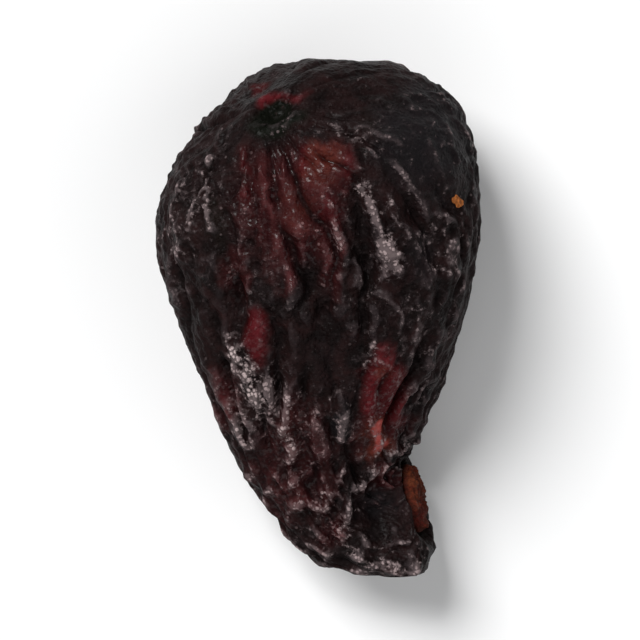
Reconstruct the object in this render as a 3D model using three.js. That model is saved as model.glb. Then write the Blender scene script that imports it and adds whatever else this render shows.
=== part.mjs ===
// A whole dried black fig, shrivelled and lying on its side, with the stump of its stalk in the cut neck.
// Millimetres. +Z is up and +Y points to the broad end. The origin is on the surface it lies on, under
// the middle of its outline. The fruit is one skin drawn from the eye, its pole on the broad end, to the
// cut neck, and its folds run from pole to neck as they do on the real fig.
import * as THREE from "three";

const DEG = Math.PI / 180;

// Broad end: half an ellipse in plan, a little full at the shoulders, from the widest ring to the crown,
// which leans to +X.
const BROAD = { x: -0.1, y: 7.4, z: 9.9, halfWidth: 14.4, halfHeight: 10.4 };
const CROWN = { length: 15.4, lean: 2.7, leanPower: 1.5, fullness: 2.2 };

// From the widest ring to the cut neck: the two sides of the outline in plan, the height of the middle,
// the half height, and how far the ring leans back, in degrees. Rings are STATION_STEP apart.
const STATION_STEP = 15;
const NECK_STATIONS = [
  { left: [-13.1, 2.0], right: [13.3, 2.0], z: 9.6, halfHeight: 10.1, lean: 0 },
  { left: [-10.8, -3.6], right: [11.5, -3.1], z: 9.0, halfHeight: 9.1, lean: 0 },
  { left: [-8.4, -9.3], right: [9.6, -7.3], z: 8.3, halfHeight: 7.4, lean: 4 },
  { left: [-4.9, -15.5], right: [8.5, -9.5], z: 7.4, halfHeight: 5.3, lean: 9 },
  { left: [0.8, -20.9], right: [7.7, -10.6], z: 6.7, halfHeight: 3.9, lean: 14 },
  { left: [9.0, -21.6], right: [7.0, -11.4], z: 6.4, halfHeight: 2.9, lean: 19 },
  { left: [11.6, -17.7], right: [6.5, -12.1], z: 6.3, halfHeight: 2.6, lean: 20 },
];
const BOXINESS = 2.3; // 2 is an ellipse; a little more is a pressed fig's fuller shoulders

// The eye has rolled off the crown onto the upper side: the turn is full there and dies out by the neck.
const EYE_ROLL = { angle: 50.8, axis: new THREE.Vector3(0.897, 0, 0.441).normalize(), until: 150 };
const EYE = { pitDepth: 1.0, pitAngle: 5.5, lipHeight: 0.3, lipAngle: 9.5, lipWidth: 3.2 };

// Folds: how many at the widest, how deep and high they are as a share of their own spacing, how much
// deeper in the neck, and where every second furrow starts and ends, in degrees from the eye.
const FOLDS = { count: 28, furrow: 0.46, leastFurrow: 0.08, crest: 0.4, roundness: 0.7, neckGain: 0.9 };
const SECOND_FURROWS = { start: 14, startSpread: 26, end: 128, endSpread: 28, fade: 8 };
const STRAY = 0.14; // how far one furrow strays sideways by itself, as a share of the spacing
const CROWDING = { groups: 8, share: 0.62 }; // folds crowd together and open out in groups
const LOBES = { count: 7, height: 0.9 }; // broad hollows and swellings of the whole body

// Marks on the upper side, in plan: dents, with swellings as dents of less than nothing, and creases.
const DENTS = [
  { at: [4.9, -15.4], radius: 1.9, depth: 1.2 },
  { at: [-0.6, -13.9], radius: 1.2, depth: 0.5 },
  { at: [-7.6, 1.6], radius: 2.2, depth: 0.6 },
  { at: [1.5, -3.4], radius: 2.6, depth: 0.7 },
  { at: [-0.4, 11.6], radius: 3.0, depth: -0.5 },
  { at: [8.6, 14.6], radius: 5.0, depth: -0.7 },
  { at: [7.6, -20.6], radius: 1.4, depth: -0.5 },
];
const CREASES = [
  { from: [-0.6, 6.4], to: [0.2, -2.2], width: 0.9, depth: 1.1 },
  { from: [-8.3, 6.0], to: [-6.9, -1.4], width: 0.8, depth: 0.8 },
  { from: [3.0, 11.0], to: [4.4, 3.6], width: 0.7, depth: 0.7 },
  { from: [-3.4, 3.0], to: [-3.0, -5.0], width: 0.7, depth: 0.6 },
];

// Places on the upper side where the skin is drawn taut and the folds lie low.
const TAUT = [
  { at: [9.6, 16.2], radius: 5.2, share: 0.8 },
  { at: [0.0, -2.6], radius: 2.8, share: 0.6 },
  { at: [0.4, 11.6], radius: 2.6, share: 0.45 },
];

// The mouth of the cut neck and the stump in it, a flattened oval set towards the inside of the bend.
const SOCKET = { halfLength: 3.35, halfHeight: 2.05, offset: 1.25, depth: 2.4, lip: 0.25 };
const STUMP = { gap: 0.3, proud: 0.8, dome: 0.3, bevel: 0.3, torn: 0.2, columns: 28 };

// The mesh: four columns to a fold, so that a column runs along each furrow, flank and crest.
const PER_FOLD = (2 * Math.PI) / FOLDS.count;
const COLUMNS_PER_FOLD = 4;
const EYE_ROWS = [1.8, 3.6, 5.6, 8, 10.8, 14];
const BODY_ROWS = 38;

const mix = (a, b, t) => a + (b - a) * t;
const ease = (t) => t * t * (3 - 2 * t);
const ramp = (from, to, x) => ease(THREE.MathUtils.clamp((x - from) / (to - from), 0, 1));
const bell = (x) => Math.exp(-x * x);

// A fixed number from 0 to 1 for each pair of whole numbers.
function draw(a, b) {
  const s = Math.sin(a * 127.1 + b * 311.7) * 43758.5453;
  return s - Math.floor(s);
}

// A smooth value from 0 to 1 that changes along one lane of a set of lanes closed into a ring.
function drift(lane, lanes, along, seed) {
  const row = Math.floor(along);
  const key = (((lane % lanes) + lanes) % lanes) + 97 * seed;
  return mix(draw(key, row), draw(key, row + 1), ease(along - row));
}

// The same, smooth across the lanes too.
function driftAcross(place, lanes, along, seed) {
  const lane = Math.floor(place);
  const t = ease(place - lane);
  return mix(drift(lane, lanes, along, seed), drift(lane + 1, lanes, along, seed), t);
}

// A ring of the crown, from the half ellipse in plan.
function crownStation(angle) {
  const reach = Math.max(Math.cos(angle), 0) ** (2 / CROWN.fullness);
  const girth = Math.sign(angle) * Math.abs(Math.sin(angle)) ** (2 / CROWN.fullness);
  const halfWidth = BROAD.halfWidth * girth;
  const x = BROAD.x + CROWN.lean * reach ** CROWN.leanPower;
  const y = BROAD.y + CROWN.length * reach;
  return {
    left: [x - halfWidth, y],
    right: [x + halfWidth, y],
    z: BROAD.z,
    halfHeight: BROAD.halfHeight * girth,
    lean: 0,
  };
}

const stations = [];
for (let angle = -STATION_STEP; angle <= 90; angle += STATION_STEP) stations.push(crownStation(angle * DEG));
stations.push(...NECK_STATIONS);

// Smooth curve through four values, between the middle two.
function through(a, b, c, d, t) {
  const bend = -a + 3 * b - 3 * c + d;
  return b + 0.5 * t * (c - a + t * (2 * a - 5 * b + 4 * c - d + t * bend));
}

// The ring at an angle of 0 (crown) to 180 degrees (cut neck): its middle, its half width and half
// height, the ways they point, and the way it faces.
function ringAt(angle) {
  const place = angle / DEG / STATION_STEP + 1;
  const first = THREE.MathUtils.clamp(Math.floor(place), 1, stations.length - 3);
  const near = stations.slice(first - 1, first + 3);
  const between = (pick) => through(...near.map(pick), place - first);
  const left = new THREE.Vector3(between((s) => s.left[0]), between((s) => s.left[1]), 0);
  const right = new THREE.Vector3(between((s) => s.right[0]), between((s) => s.right[1]), 0);
  const lean = between((s) => s.lean) * DEG;
  const middle = left.clone().add(right).multiplyScalar(0.5).setZ(between((s) => s.z));
  const half = right.clone().sub(left).multiplyScalar(0.5);
  const halfHeight = between((s) => s.halfHeight);
  const across = half.lengthSq() > 0 ? half.clone().normalize() : new THREE.Vector3(1, 0, 0);
  const ahead = new THREE.Vector3(across.y, -across.x, 0);
  const up = new THREE.Vector3(0, 0, Math.cos(lean)).addScaledVector(ahead, -Math.sin(lean));
  return { middle, half, halfHeight, across, up, facing: across.clone().cross(up) };
}

// A point of the smooth body, where round is the angle about the ring from its +X side over the top.
function ringPoint(ring, round) {
  const c = Math.cos(round);
  const s = Math.sin(round);
  const full = (Math.abs(c) ** BOXINESS + Math.abs(s) ** BOXINESS) ** (-1 / BOXINESS);
  return ring.middle
    .clone()
    .addScaledVector(ring.half, c * full)
    .addScaledVector(ring.up, ring.halfHeight * s * full);
}

// The same with the eye as the pole: polar is the angle from the eye, round the angle about it.
function bodyPoint(polar, round) {
  const out = new THREE.Vector3(
    Math.sin(polar) * Math.cos(round),
    Math.cos(polar),
    Math.sin(polar) * Math.sin(round),
  );
  const turn = EYE_ROLL.angle * (1 - ramp(0, EYE_ROLL.until, polar / DEG));
  out.applyAxisAngle(EYE_ROLL.axis, turn * DEG);
  const angle = Math.acos(THREE.MathUtils.clamp(out.y, -1, 1));
  return ringPoint(ringAt(angle), Math.atan2(out.z, out.x));
}

// Slow and quick changes together along one fold or furrow.
function changing(lane, along, seed) {
  const slow = drift(lane, FOLDS.count, along * 6, seed);
  const quick = drift(lane, FOLDS.count, along * 13, seed + 1);
  return mix(slow, quick, 0.4);
}

// How much of a furrow there is. Every second one dies out towards the eye and towards the neck, where
// the folds run together.
function furrowShare(furrow, degrees) {
  if (furrow % 2 === 0) return 1;
  const { start, startSpread, end, endSpread, fade } = SECOND_FURROWS;
  const first = start + startSpread * draw(furrow % FOLDS.count, 31);
  const last = end + endSpread * draw(furrow % FOLDS.count, 32);
  const there = ramp(first - fade, first + fade, degrees) * (1 - ramp(last - fade, last + fade, degrees));
  return mix(0.12, 1, there);
}

// How far the skin stands out or in at the folds. place counts folds round the fruit, whole at a furrow.
function foldRelief(place, polar, spacing) {
  const fold = Math.floor(place);
  const furrow = Math.round(place);
  const along = polar / Math.PI;
  const rounded = Math.sin(Math.PI * (place - fold)) ** FOLDS.roundness;
  const deep = mix(FOLDS.leastFurrow, FOLDS.furrow, ramp(0.15, 0.75, changing(furrow, along, 1)));
  const high = FOLDS.crest * (changing(fold, along, 5) - 0.45);
  return spacing * (high * rounded - deep * furrowShare(furrow, polar / DEG) * (1 - rounded));
}

// Dents and creases of the upper side, by their place in plan.
function markRelief(x, y) {
  let relief = 0;
  for (const { at, radius, depth } of DENTS) {
    relief -= depth * bell(Math.hypot(x - at[0], y - at[1]) / radius);
  }
  for (const { from, to, width, depth } of CREASES) {
    const dx = to[0] - from[0];
    const dy = to[1] - from[1];
    const along = ((x - from[0]) * dx + (y - from[1]) * dy) / (dx * dx + dy * dy);
    const held = THREE.MathUtils.clamp(along, 0, 1);
    const away = Math.hypot(x - from[0] - held * dx, y - from[1] - held * dy);
    relief -= depth * bell(away / width) * bell(1.3 * (along - 0.5));
  }
  return relief;
}

// The share of the folds that is left where the skin is taut.
function slack(x, y) {
  let kept = 1;
  for (const { at, radius, share } of TAUT) {
    kept *= 1 - share * bell(Math.hypot(x - at[0], y - at[1]) / radius);
  }
  return kept;
}

// The eye: a small pit with a raised lip at the pole.
function eyeRelief(degrees) {
  const lip = EYE.lipHeight * bell((degrees - EYE.lipAngle) / EYE.lipWidth);
  return lip - EYE.pitDepth * bell(degrees / EYE.pitAngle);
}

// The angle round the fruit of a place among the folds, which crowd together in groups and stray.
function roundAt(place, polar) {
  const along = polar / Math.PI;
  const group = (CROWDING.groups * place) / FOLDS.count;
  const crowd = CROWDING.share * (2 * driftAcross(group, CROWDING.groups, along * 3, 3) - 1);
  const stray = STRAY * (2 * driftAcross(place, FOLDS.count, along * 9, 7) - 1);
  return (place + (crowd + stray) * ramp(0, 24, polar / DEG)) * PER_FOLD;
}

// A point of the skin. polar runs from the eye to the cut neck, place counts folds round the fruit.
function skinPoint(polar, place) {
  const degrees = polar / DEG;
  const round = roundAt(place, polar);
  const point = bodyPoint(polar, round);
  const step = 1e-3;
  const aside = bodyPoint(polar, round + step).sub(bodyPoint(polar, round - step));
  const ahead = bodyPoint(Math.min(polar + step, Math.PI), round).sub(bodyPoint(polar - step, round));
  const spacing = (aside.length() / (2 * step)) * PER_FOLD;
  const out = aside.clone().cross(ahead).normalize();
  const upper = ramp(-0.1, 0.5, out.z) * (1 - 0.6 * ramp(172, 180, degrees));
  const lobe = (LOBES.count * place) / FOLDS.count;
  const lobes = LOBES.height * (2 * driftAcross(lobe, LOBES.count, (4 * polar) / Math.PI, 4) - 1);
  const gain = 1 + FOLDS.neckGain * ramp(100, 150, degrees);
  const folds = foldRelief(place, polar, spacing) * gain * ramp(4, 13, degrees);
  const loose = mix(1, slack(point.x, point.y), upper);
  const open = 1 - 0.55 * ramp(160, 178, degrees);
  const relief = (folds * loose + lobes * ramp(7, 20, degrees)) * open + eyeRelief(degrees);
  point.addScaledVector(out, relief + markRelief(point.x, point.y) * upper);
  point.z = Math.max(point.z, 0);
  return point;
}

// A closed skin over rings of points: each ring has the same columns, and a lone point closes each end.
function closedSkin(start, rings, end) {
  const columns = rings[0].length;
  const points = [start, ...rings.flat(), end];
  const index = [];
  const at = (ring, column) => 1 + ring * columns + (column % columns);
  for (let column = 0; column < columns; column++) {
    index.push(0, at(0, column + 1), at(0, column));
    for (let ring = 0; ring + 1 < rings.length; ring++) {
      index.push(at(ring, column), at(ring, column + 1), at(ring + 1, column + 1));
      index.push(at(ring, column), at(ring + 1, column + 1), at(ring + 1, column));
    }
    index.push(at(rings.length - 1, column), at(rings.length - 1, column + 1), points.length - 1);
  }
  const geometry = new THREE.BufferGeometry().setFromPoints(points);
  geometry.setIndex(index);
  geometry.computeVertexNormals();
  return geometry;
}

// The middle of the socket's oval, and a point round it: shrunk is how far inside the oval, and out is
// along the way the cut faces.
const mouth = ringAt(Math.PI);
const mouthCentre = (out) =>
  mouth.middle.clone().addScaledVector(mouth.across, SOCKET.offset).addScaledVector(mouth.facing, out);
function mouthPoint(shrunk, round, out) {
  return mouthCentre(out)
    .addScaledVector(mouth.across, (SOCKET.halfLength - shrunk) * Math.cos(round))
    .addScaledVector(mouth.up, (SOCKET.halfHeight - shrunk) * Math.sin(round));
}

// The fruit: the skin from the eye to the neck, round the lip of the cut, and down into the socket.
function fruitGeometry() {
  const columns = FOLDS.count * COLUMNS_PER_FOLD;
  const lastEyeRow = EYE_ROWS[EYE_ROWS.length - 1];
  const rows = [...EYE_ROWS];
  for (let row = 1; row <= BODY_ROWS; row++) rows.push(mix(lastEyeRow, 180, row / BODY_ROWS));
  const places = Array.from({ length: columns }, (_, column) => column / COLUMNS_PER_FOLD);
  const rings = rows.map((degrees) => places.map((place) => skinPoint(degrees * DEG, place)));
  const rim = rings[rings.length - 1];
  const socket = (out) => places.map((place) => mouthPoint(0, place * PER_FOLD, out));
  const edge = socket(-0.1);
  const lip = (share) =>
    rim.map((point, i) => point.clone().lerp(edge[i], share).addScaledVector(mouth.facing, SOCKET.lip));
  rings.push(lip(0.35), lip(0.75), edge, socket(-SOCKET.depth));
  return closedSkin(skinPoint(1e-3, 0), rings, mouthCentre(-SOCKET.depth));
}

// The stump of the stalk: a flattened oval plug with a rounded edge and a slightly domed, torn face.
function stumpGeometry() {
  const back = STUMP.gap - SOCKET.depth;
  const top = STUMP.proud + STUMP.dome;
  const oval = (shrunk, out, torn) =>
    Array.from({ length: STUMP.columns }, (_, column) => {
      const round = (column / STUMP.columns) * 2 * Math.PI;
      return mouthPoint(STUMP.gap + shrunk, round, out + torn * (draw(column, 11) - 0.5));
    });
  const rings = [
    oval(0.1, back, 0),
    oval(0, STUMP.proud - STUMP.bevel, 0),
    oval(STUMP.bevel, STUMP.proud, STUMP.torn),
    oval(3 * STUMP.bevel, mix(STUMP.proud, top, 0.7), STUMP.torn),
  ];
  return closedSkin(mouthCentre(back), rings, mouthCentre(top));
}

const skin = new THREE.MeshStandardMaterial({ color: 0x1e1416, roughness: 0.62, metalness: 0 });
const wood = new THREE.MeshStandardMaterial({ color: 0x5a2c18, roughness: 0.8, metalness: 0 });

const fruit = new THREE.Mesh(fruitGeometry(), skin);
fruit.name = "fruit";
const stump = new THREE.Mesh(stumpGeometry(), wood);
stump.name = "stalk_stump";

const fig = new THREE.Group();
fig.add(fruit, stump);

export default fig;
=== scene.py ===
import bmesh
import bpy
import numpy as np
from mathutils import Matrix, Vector


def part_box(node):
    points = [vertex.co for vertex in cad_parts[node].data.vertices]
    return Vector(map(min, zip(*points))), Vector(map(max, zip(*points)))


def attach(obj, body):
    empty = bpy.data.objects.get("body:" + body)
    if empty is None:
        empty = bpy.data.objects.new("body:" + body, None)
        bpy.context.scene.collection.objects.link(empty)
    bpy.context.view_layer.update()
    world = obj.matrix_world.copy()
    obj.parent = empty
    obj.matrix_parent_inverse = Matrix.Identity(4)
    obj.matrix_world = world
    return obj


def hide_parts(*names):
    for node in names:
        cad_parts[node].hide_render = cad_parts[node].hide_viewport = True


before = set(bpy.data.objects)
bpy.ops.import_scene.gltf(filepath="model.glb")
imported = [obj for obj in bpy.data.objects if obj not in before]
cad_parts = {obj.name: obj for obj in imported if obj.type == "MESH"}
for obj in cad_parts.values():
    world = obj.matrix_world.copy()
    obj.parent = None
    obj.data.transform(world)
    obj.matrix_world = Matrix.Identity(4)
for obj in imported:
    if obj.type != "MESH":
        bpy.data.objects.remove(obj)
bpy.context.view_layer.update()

# The body of the fruit: a pear pressed a little flat, with its neck hooked to one side.
# Each ring has the two sides of the outline in plan, the height of its middle, its half height and its
# backward lean in degrees. All lengths of the fruit are in millimetres until its mesh is filled.
MM = 0.001
RING_STEP = 15
BOXINESS = 2.3
BROAD = {"x": -0.1, "y": 7.4, "z": 9.9, "half_width": 14.4, "half_height": 10.4}
CROWN = {"length": 15.4, "lean": 2.7, "lean_power": 1.5, "fullness": 2.2}
NECK_RINGS = [
    (-13.1, 2.0, 13.3, 2.0, 9.6, 10.1, 0),
    (-10.8, -3.6, 11.5, -3.1, 9.0, 9.1, 0),
    (-8.4, -9.3, 9.6, -7.3, 8.3, 7.4, 4),
    (-4.9, -15.5, 8.5, -9.5, 7.4, 5.3, 9),
    (0.8, -20.9, 7.7, -10.6, 6.7, 3.9, 14),
    (9.0, -21.6, 7.0, -11.4, 6.4, 2.9, 19),
    (11.6, -17.7, 6.5, -12.1, 6.3, 2.6, 20),
]
EYE_ROLL = {"angle": 50.8, "axis": (0.897, 0.0, 0.441), "until": 150}


def ease(t):
    """A share from 0 to 1 that starts and ends gently."""
    return t * t * (3 - 2 * t)


def ramp(low, high, x):
    """How far x has passed from low to high, eased."""
    return ease(np.clip((x - low) / (high - low), 0, 1))


def bell(x):
    """1 at 0, falling away on both sides."""
    return np.exp(-x * x)


def mix(a, b, t):
    """The value a share t of the way from a to b."""
    return a + (b - a) * t


def crown_ring(angle):
    """A ring of the round end, at an angle from its widest ring towards its crown."""
    reach = max(np.cos(angle), 0) ** (2 / CROWN["fullness"])
    girth = np.sign(angle) * abs(np.sin(angle)) ** (2 / CROWN["fullness"])
    x = BROAD["x"] + CROWN["lean"] * reach ** CROWN["lean_power"]
    y = BROAD["y"] + CROWN["length"] * reach
    half = BROAD["half_width"] * girth
    return (x - half, y, x + half, y, BROAD["z"], BROAD["half_height"] * girth, 0)


crown_angles = np.radians(np.arange(-RING_STEP, 91, RING_STEP))
RINGS = np.array([crown_ring(a) for a in crown_angles] + NECK_RINGS)


def ring_at(angle):
    """Middle, half width, half height, across, up and facing of the ring at an angle from the crown."""
    place = np.degrees(angle) / RING_STEP + 1
    first = np.clip(np.floor(place), 1, len(RINGS) - 3).astype(int)
    t = (place - first)[:, None]
    a, b, c, d = (RINGS[first + k] for k in (-1, 0, 1, 2))
    v = b + 0.5 * t * (c - a + t * (2 * a - 5 * b + 4 * c - d + t * (-a + 3 * b - 3 * c + d)))
    level = np.zeros(len(v))
    left = np.stack([v[:, 0], v[:, 1], level], 1)
    right = np.stack([v[:, 2], v[:, 3], level], 1)
    middle = (left + right) / 2
    middle[:, 2] = v[:, 4]
    half = (right - left) / 2
    width = np.linalg.norm(half, axis=1, keepdims=True)
    across = np.where(width > 0, half / np.maximum(width, 1e-12), [1.0, 0.0, 0.0])
    ahead = np.stack([across[:, 1], -across[:, 0], level], 1)
    lean = np.radians(v[:, 6])[:, None]
    up = np.array([0.0, 0.0, 1.0]) * np.cos(lean) - ahead * np.sin(lean)
    return middle, half, v[:, 5], across, up, np.cross(across, up)


def body_point(polar, azimuth):
    """A point of the smooth body. The eye is the pole, rolled off the crown onto the upper side."""
    out = np.stack([np.sin(polar) * np.cos(azimuth), np.cos(polar), np.sin(polar) * np.sin(azimuth)], 1)
    turn = np.radians(EYE_ROLL["angle"]) * (1 - ramp(0, EYE_ROLL["until"], np.degrees(polar)))[:, None]
    axis = np.array(EYE_ROLL["axis"]) / np.linalg.norm(EYE_ROLL["axis"])
    along = axis * (out @ axis)[:, None]
    out = along + (out - along) * np.cos(turn) + np.cross(axis, out) * np.sin(turn)
    middle, half, half_height, _, up, _ = ring_at(np.arccos(np.clip(out[:, 1], -1, 1)))
    side = np.arctan2(out[:, 2], out[:, 0])
    c, s = np.cos(side), np.sin(side)
    full = (abs(c) ** BOXINESS + abs(s) ** BOXINESS) ** (-1 / BOXINESS)
    return middle + half * (c * full)[:, None] + up * (half_height * s * full)[:, None]


# The folds the skin shrank into, from the eye to the neck. Every second furrow dies out towards both
# ends, and the folds crowd together in groups, stray, swell and pinch along their length.
FOLD_COUNT = 28
PER_FOLD = 2 * np.pi / FOLD_COUNT
FURROW, LEAST_FURROW, CREST, ROUNDNESS, NECK_GAIN = 0.46, 0.08, 0.4, 0.7, 0.9
SECOND_START, SECOND_START_SPREAD, SECOND_END, SECOND_END_SPREAD, SECOND_FADE = 14, 26, 128, 28, 8
STRAY = 0.14
CROWD_GROUPS, CROWD_SHARE = 8, 0.62
LOBE_COUNT, LOBE_HEIGHT = 7, 0.9
EYE_PIT, EYE_PIT_ANGLE, EYE_LIP, EYE_LIP_ANGLE, EYE_LIP_WIDTH = 1.0, 5.5, 0.3, 9.5, 3.2


def draw(a, b):
    """A value from 0 to 1 that looks random and is the same each run."""
    s = np.sin(a * 127.1 + b * 311.7) * 43758.5453
    return s - np.floor(s)


def drift(lane, lanes, along, seed):
    """A value from 0 to 1 that changes smoothly along a lane."""
    row = np.floor(along)
    key = np.mod(lane, lanes) + 97 * seed
    return mix(draw(key, row), draw(key, row + 1), ease(along - row))


def drift_across(place, lanes, along, seed):
    """The same, and smooth from one lane to the next."""
    lane = np.floor(place)
    return mix(drift(lane, lanes, along, seed), drift(lane + 1, lanes, along, seed), ease(place - lane))


def changing(lane, along, seed):
    """How one fold changes along its length, in long and short waves."""
    return mix(drift(lane, FOLD_COUNT, along * 6, seed), drift(lane, FOLD_COUNT, along * 13, seed + 1), 0.4)


def furrow_share(furrow, degrees):
    """How much of its depth a furrow has here."""
    first = SECOND_START + SECOND_START_SPREAD * draw(np.mod(furrow, FOLD_COUNT), 31)
    last = SECOND_END + SECOND_END_SPREAD * draw(np.mod(furrow, FOLD_COUNT), 32)
    there = ramp(first - SECOND_FADE, first + SECOND_FADE, degrees)
    there = there * (1 - ramp(last - SECOND_FADE, last + SECOND_FADE, degrees))
    return np.where(np.mod(furrow, 2) == 0, 1, mix(0.12, 1, there))


def fold_relief(place, polar):
    """Height of the folds as a share of their spacing."""
    fold = np.floor(place)
    furrow = np.floor(place + 0.5)
    along = polar / np.pi
    rounded = np.sin(np.pi * (place - fold)) ** ROUNDNESS
    deep = mix(LEAST_FURROW, FURROW, ramp(0.15, 0.75, changing(furrow, along, 1)))
    high = CREST * (changing(fold, along, 5) - 0.45)
    return high * rounded - deep * furrow_share(furrow, np.degrees(polar)) * (1 - rounded)


def round_at(place, polar):
    """The way round the fruit, in radians, of a place counted in folds."""
    along = polar / np.pi
    group = CROWD_GROUPS * place / FOLD_COUNT
    crowd = CROWD_SHARE * (2 * drift_across(group, CROWD_GROUPS, along * 3, 3) - 1)
    stray = STRAY * (2 * drift_across(place, FOLD_COUNT, along * 9, 7) - 1)
    return (place + (crowd + stray) * ramp(0, 24, np.degrees(polar))) * PER_FOLD


# The marks that make this one fruit, by their place seen from above: dents and swellings, creases, taut
# places where the folds lie low, sharp crests that caught the most sugar, and blisters and pits with a
# sugared rim. A dent is given by its middle, reach and depth, a crease by its ends, width and depth, a
# taut place by its middle, reach and share, and a crest by its line, width, height and frost.
DENTS = [
    (4.9, -15.4, 1.9, 1.2), (-0.6, -13.9, 1.2, 0.5), (-7.6, 1.6, 2.2, 0.6), (1.5, -3.4, 2.6, 0.7),
    (-0.4, 11.6, 3.0, -0.5), (8.6, 14.6, 5.0, -0.7), (7.6, -20.6, 1.4, -0.5),
]
CREASES = [
    (-0.6, 6.4, 0.2, -2.2, 0.9, 1.1), (-8.3, 6.0, -6.9, -1.4, 0.8, 0.8),
    (3.0, 11.0, 4.4, 3.6, 0.7, 0.7), (-3.4, 3.0, -3.0, -5.0, 0.7, 0.6),
]
TAUT = [
    (9.6, 16.2, 5.2, 0.8), (0.0, -2.6, 2.8, 0.6), (0.4, 11.6, 2.6, 0.45),
]
SHARP_CRESTS = [
    ([(-9.2, 13.7), (-9.8, 10.8), (-9.2, 7.6)], 0.45, 0.35, 0.9),
    ([(-11.7, 11.5), (-12.4, 8.9), (-12.1, 5.0)], 0.45, 0.3, 0.8),
    ([(-10.7, 10.5), (-11.0, 7.6)], 0.35, 0.2, 0.9),
    ([(-6.2, 18.3), (-9.4, 17.0), (-11.7, 14.7)], 0.4, 0.25, 0.5),
    ([(-7.1, 16.6), (-9.7, 14.1)], 0.35, 0.2, 0.5),
    ([(-6.6, 14.5), (-6.4, 10.5)], 0.4, 0.3, 0.15),
    ([(-4.9, 14.2), (-4.6, 9.8), (-3.6, 8.3), (-2.6, 2.9)], 0.5, 0.4, 0.3),
    ([(0.3, 11.0), (1.4, 7.6), (1.5, 3.7)], 0.5, 0.4, 0.8),
    ([(3.3, 11.1), (4.2, 9.3), (5.3, 7.2), (6.6, 4.2)], 0.65, 0.55, 0.95),
    ([(5.5, 6.8), (6.4, 4.6)], 0.75, 0.5, 1.25),
    ([(5.6, 10.4), (6.3, 8.6), (7.6, 6.8)], 0.4, 0.3, 0.8),
    ([(8.8, 3.6), (9.3, 1.4), (8.6, -1.4)], 0.5, 0.45, 0.5),
    ([(4.3, -8.9), (4.7, -10.3), (4.3, -11.4)], 0.8, 0.35, 1.1),
    ([(4.0, -3.0), (5.4, -3.5), (6.4, -4.4)], 0.4, 0.3, 0.7),
    ([(11.6, 7.2), (10.6, 5.4), (11.8, 3.4), (11.2, 0.4)], 0.45, 0.45, 0.7),
    ([(9.6, 8.9), (11.4, 8.6), (12.4, 6.6)], 0.4, 0.35, 0.6),
    ([(5.6, 2.2), (7.0, 0.4), (6.4, -1.6)], 0.5, 0.45, 0.6),
    ([(10.2, -1.0), (9.0, -3.0), (9.6, -5.2)], 0.45, 0.45, 0.5),
    ([(6.5, 13.1), (8.1, 10.2), (9.7, 6.9), (10.1, 5.0)], 0.5, 0.4, 0.6),
    ([(-7.0, -2.4), (-6.1, -4.6), (-4.8, -6.6)], 1.1, 0.7, 1.5),
    ([(-7.3, -7.0), (-6.8, -8.6), (-5.9, -10.2)], 0.8, 0.6, 1.25),
    ([(-2.8, -6.6), (-3.0, -9.3), (-2.4, -11.4)], 0.8, 0.55, 1.3),
    ([(3.9, -13.5), (5.2, -12.7), (6.3, -12.9)], 0.45, 0.45, 0.4),
    ([(4.7, -14.2), (5.6, -13.6), (6.1, -14.6)], 0.35, 0.3, 0.5),
    ([(-10.0, -3.6), (-9.6, -5.9), (-6.0, -13.9)], 0.35, 0.25, 0.45),
    ([(-6.0, -13.9), (-3.4, -18.0), (0.6, -21.0)], 0.3, 0.15, 0.5),
    ([(7.9, -9.9), (4.7, -12.6), (2.9, -14.8), (2.0, -18.8)], 0.55, 0.85, 1.0),
    ([(2.0, -18.8), (3.4, -20.2), (6.5, -21.0), (9.0, -21.0)], 0.55, 0.7, 1.0),
    ([(3.4, -18.6), (5.2, -19.4), (7.4, -18.9), (8.6, -20.0)], 0.4, 0.5, 0.6),
    ([(-0.9, -12.9), (-2.2, -14.0), (-2.0, -15.6), (-0.6, -15.9)], 0.45, 0.6, 0.6),
    ([(0.2, -13.4), (0.6, -15.2), (-0.4, -17.3), (0.4, -19.2)], 0.45, 0.5, 0.6),
    ([(9.1, -8.0), (7.8, -10.6), (6.5, -11.9)], 0.4, 0.3, 0.7),
    ([(8.1, 20.9), (11.0, 18.0), (13.3, 14.4)], 0.3, 0.1, 0.6),
    ([(2.4, 19.6), (4.4, 20.4), (5.6, 19.4), (4.6, 18.6)], 0.25, 0.15, 0.6),
    ([(6.8, 19.0), (7.9, 18.4), (7.5, 17.2)], 0.25, 0.15, 0.5),
    ([(1.0, 16.3), (3.6, 15.0), (4.9, 13.4)], 0.4, 0.3, 0.8),
    ([(2.3, 16.7), (6.8, 15.0), (8.8, 11.5)], 0.35, 0.2, 0.5),
]
BLISTERS = [
    {"line": [(-0.7, -8.9), (0.1, -11.0)], "reach": 0.85, "height": 0.6, "rim": 0.9},
    {"line": [(1.5, -7.1), (2.2, -9.7)], "reach": 0.8, "height": 0.6, "rim": 0.9},
    {"line": [(9.5, 6.8), (9.9, 5.4)], "reach": 1.0, "height": -0.45, "rim": 0.7},
    {"line": [(-8.0, -4.3), (-7.9, -3.8)], "reach": 0.5, "height": -0.6, "rim": 0.9},
]
SCOOP = {"at": (4.9, -16.7), "reach": (1.7, 2.3), "depth": 1.1}
BALL = {"at": (4.9, -15.3), "radius": 0.8, "height": 1.2}
KNOB = {"at": (8.0, -20.4), "radius": 1.4, "height": 0.7}


def to_line(x, y, start, end):
    """Distance from a stretch of line, and how far along it."""
    dx, dy = end[0] - start[0], end[1] - start[1]
    along = ((x - start[0]) * dx + (y - start[1]) * dy) / (dx * dx + dy * dy)
    held = np.clip(along, 0, 1)
    return np.hypot(x - start[0] - held * dx, y - start[1] - held * dy), along


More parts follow.
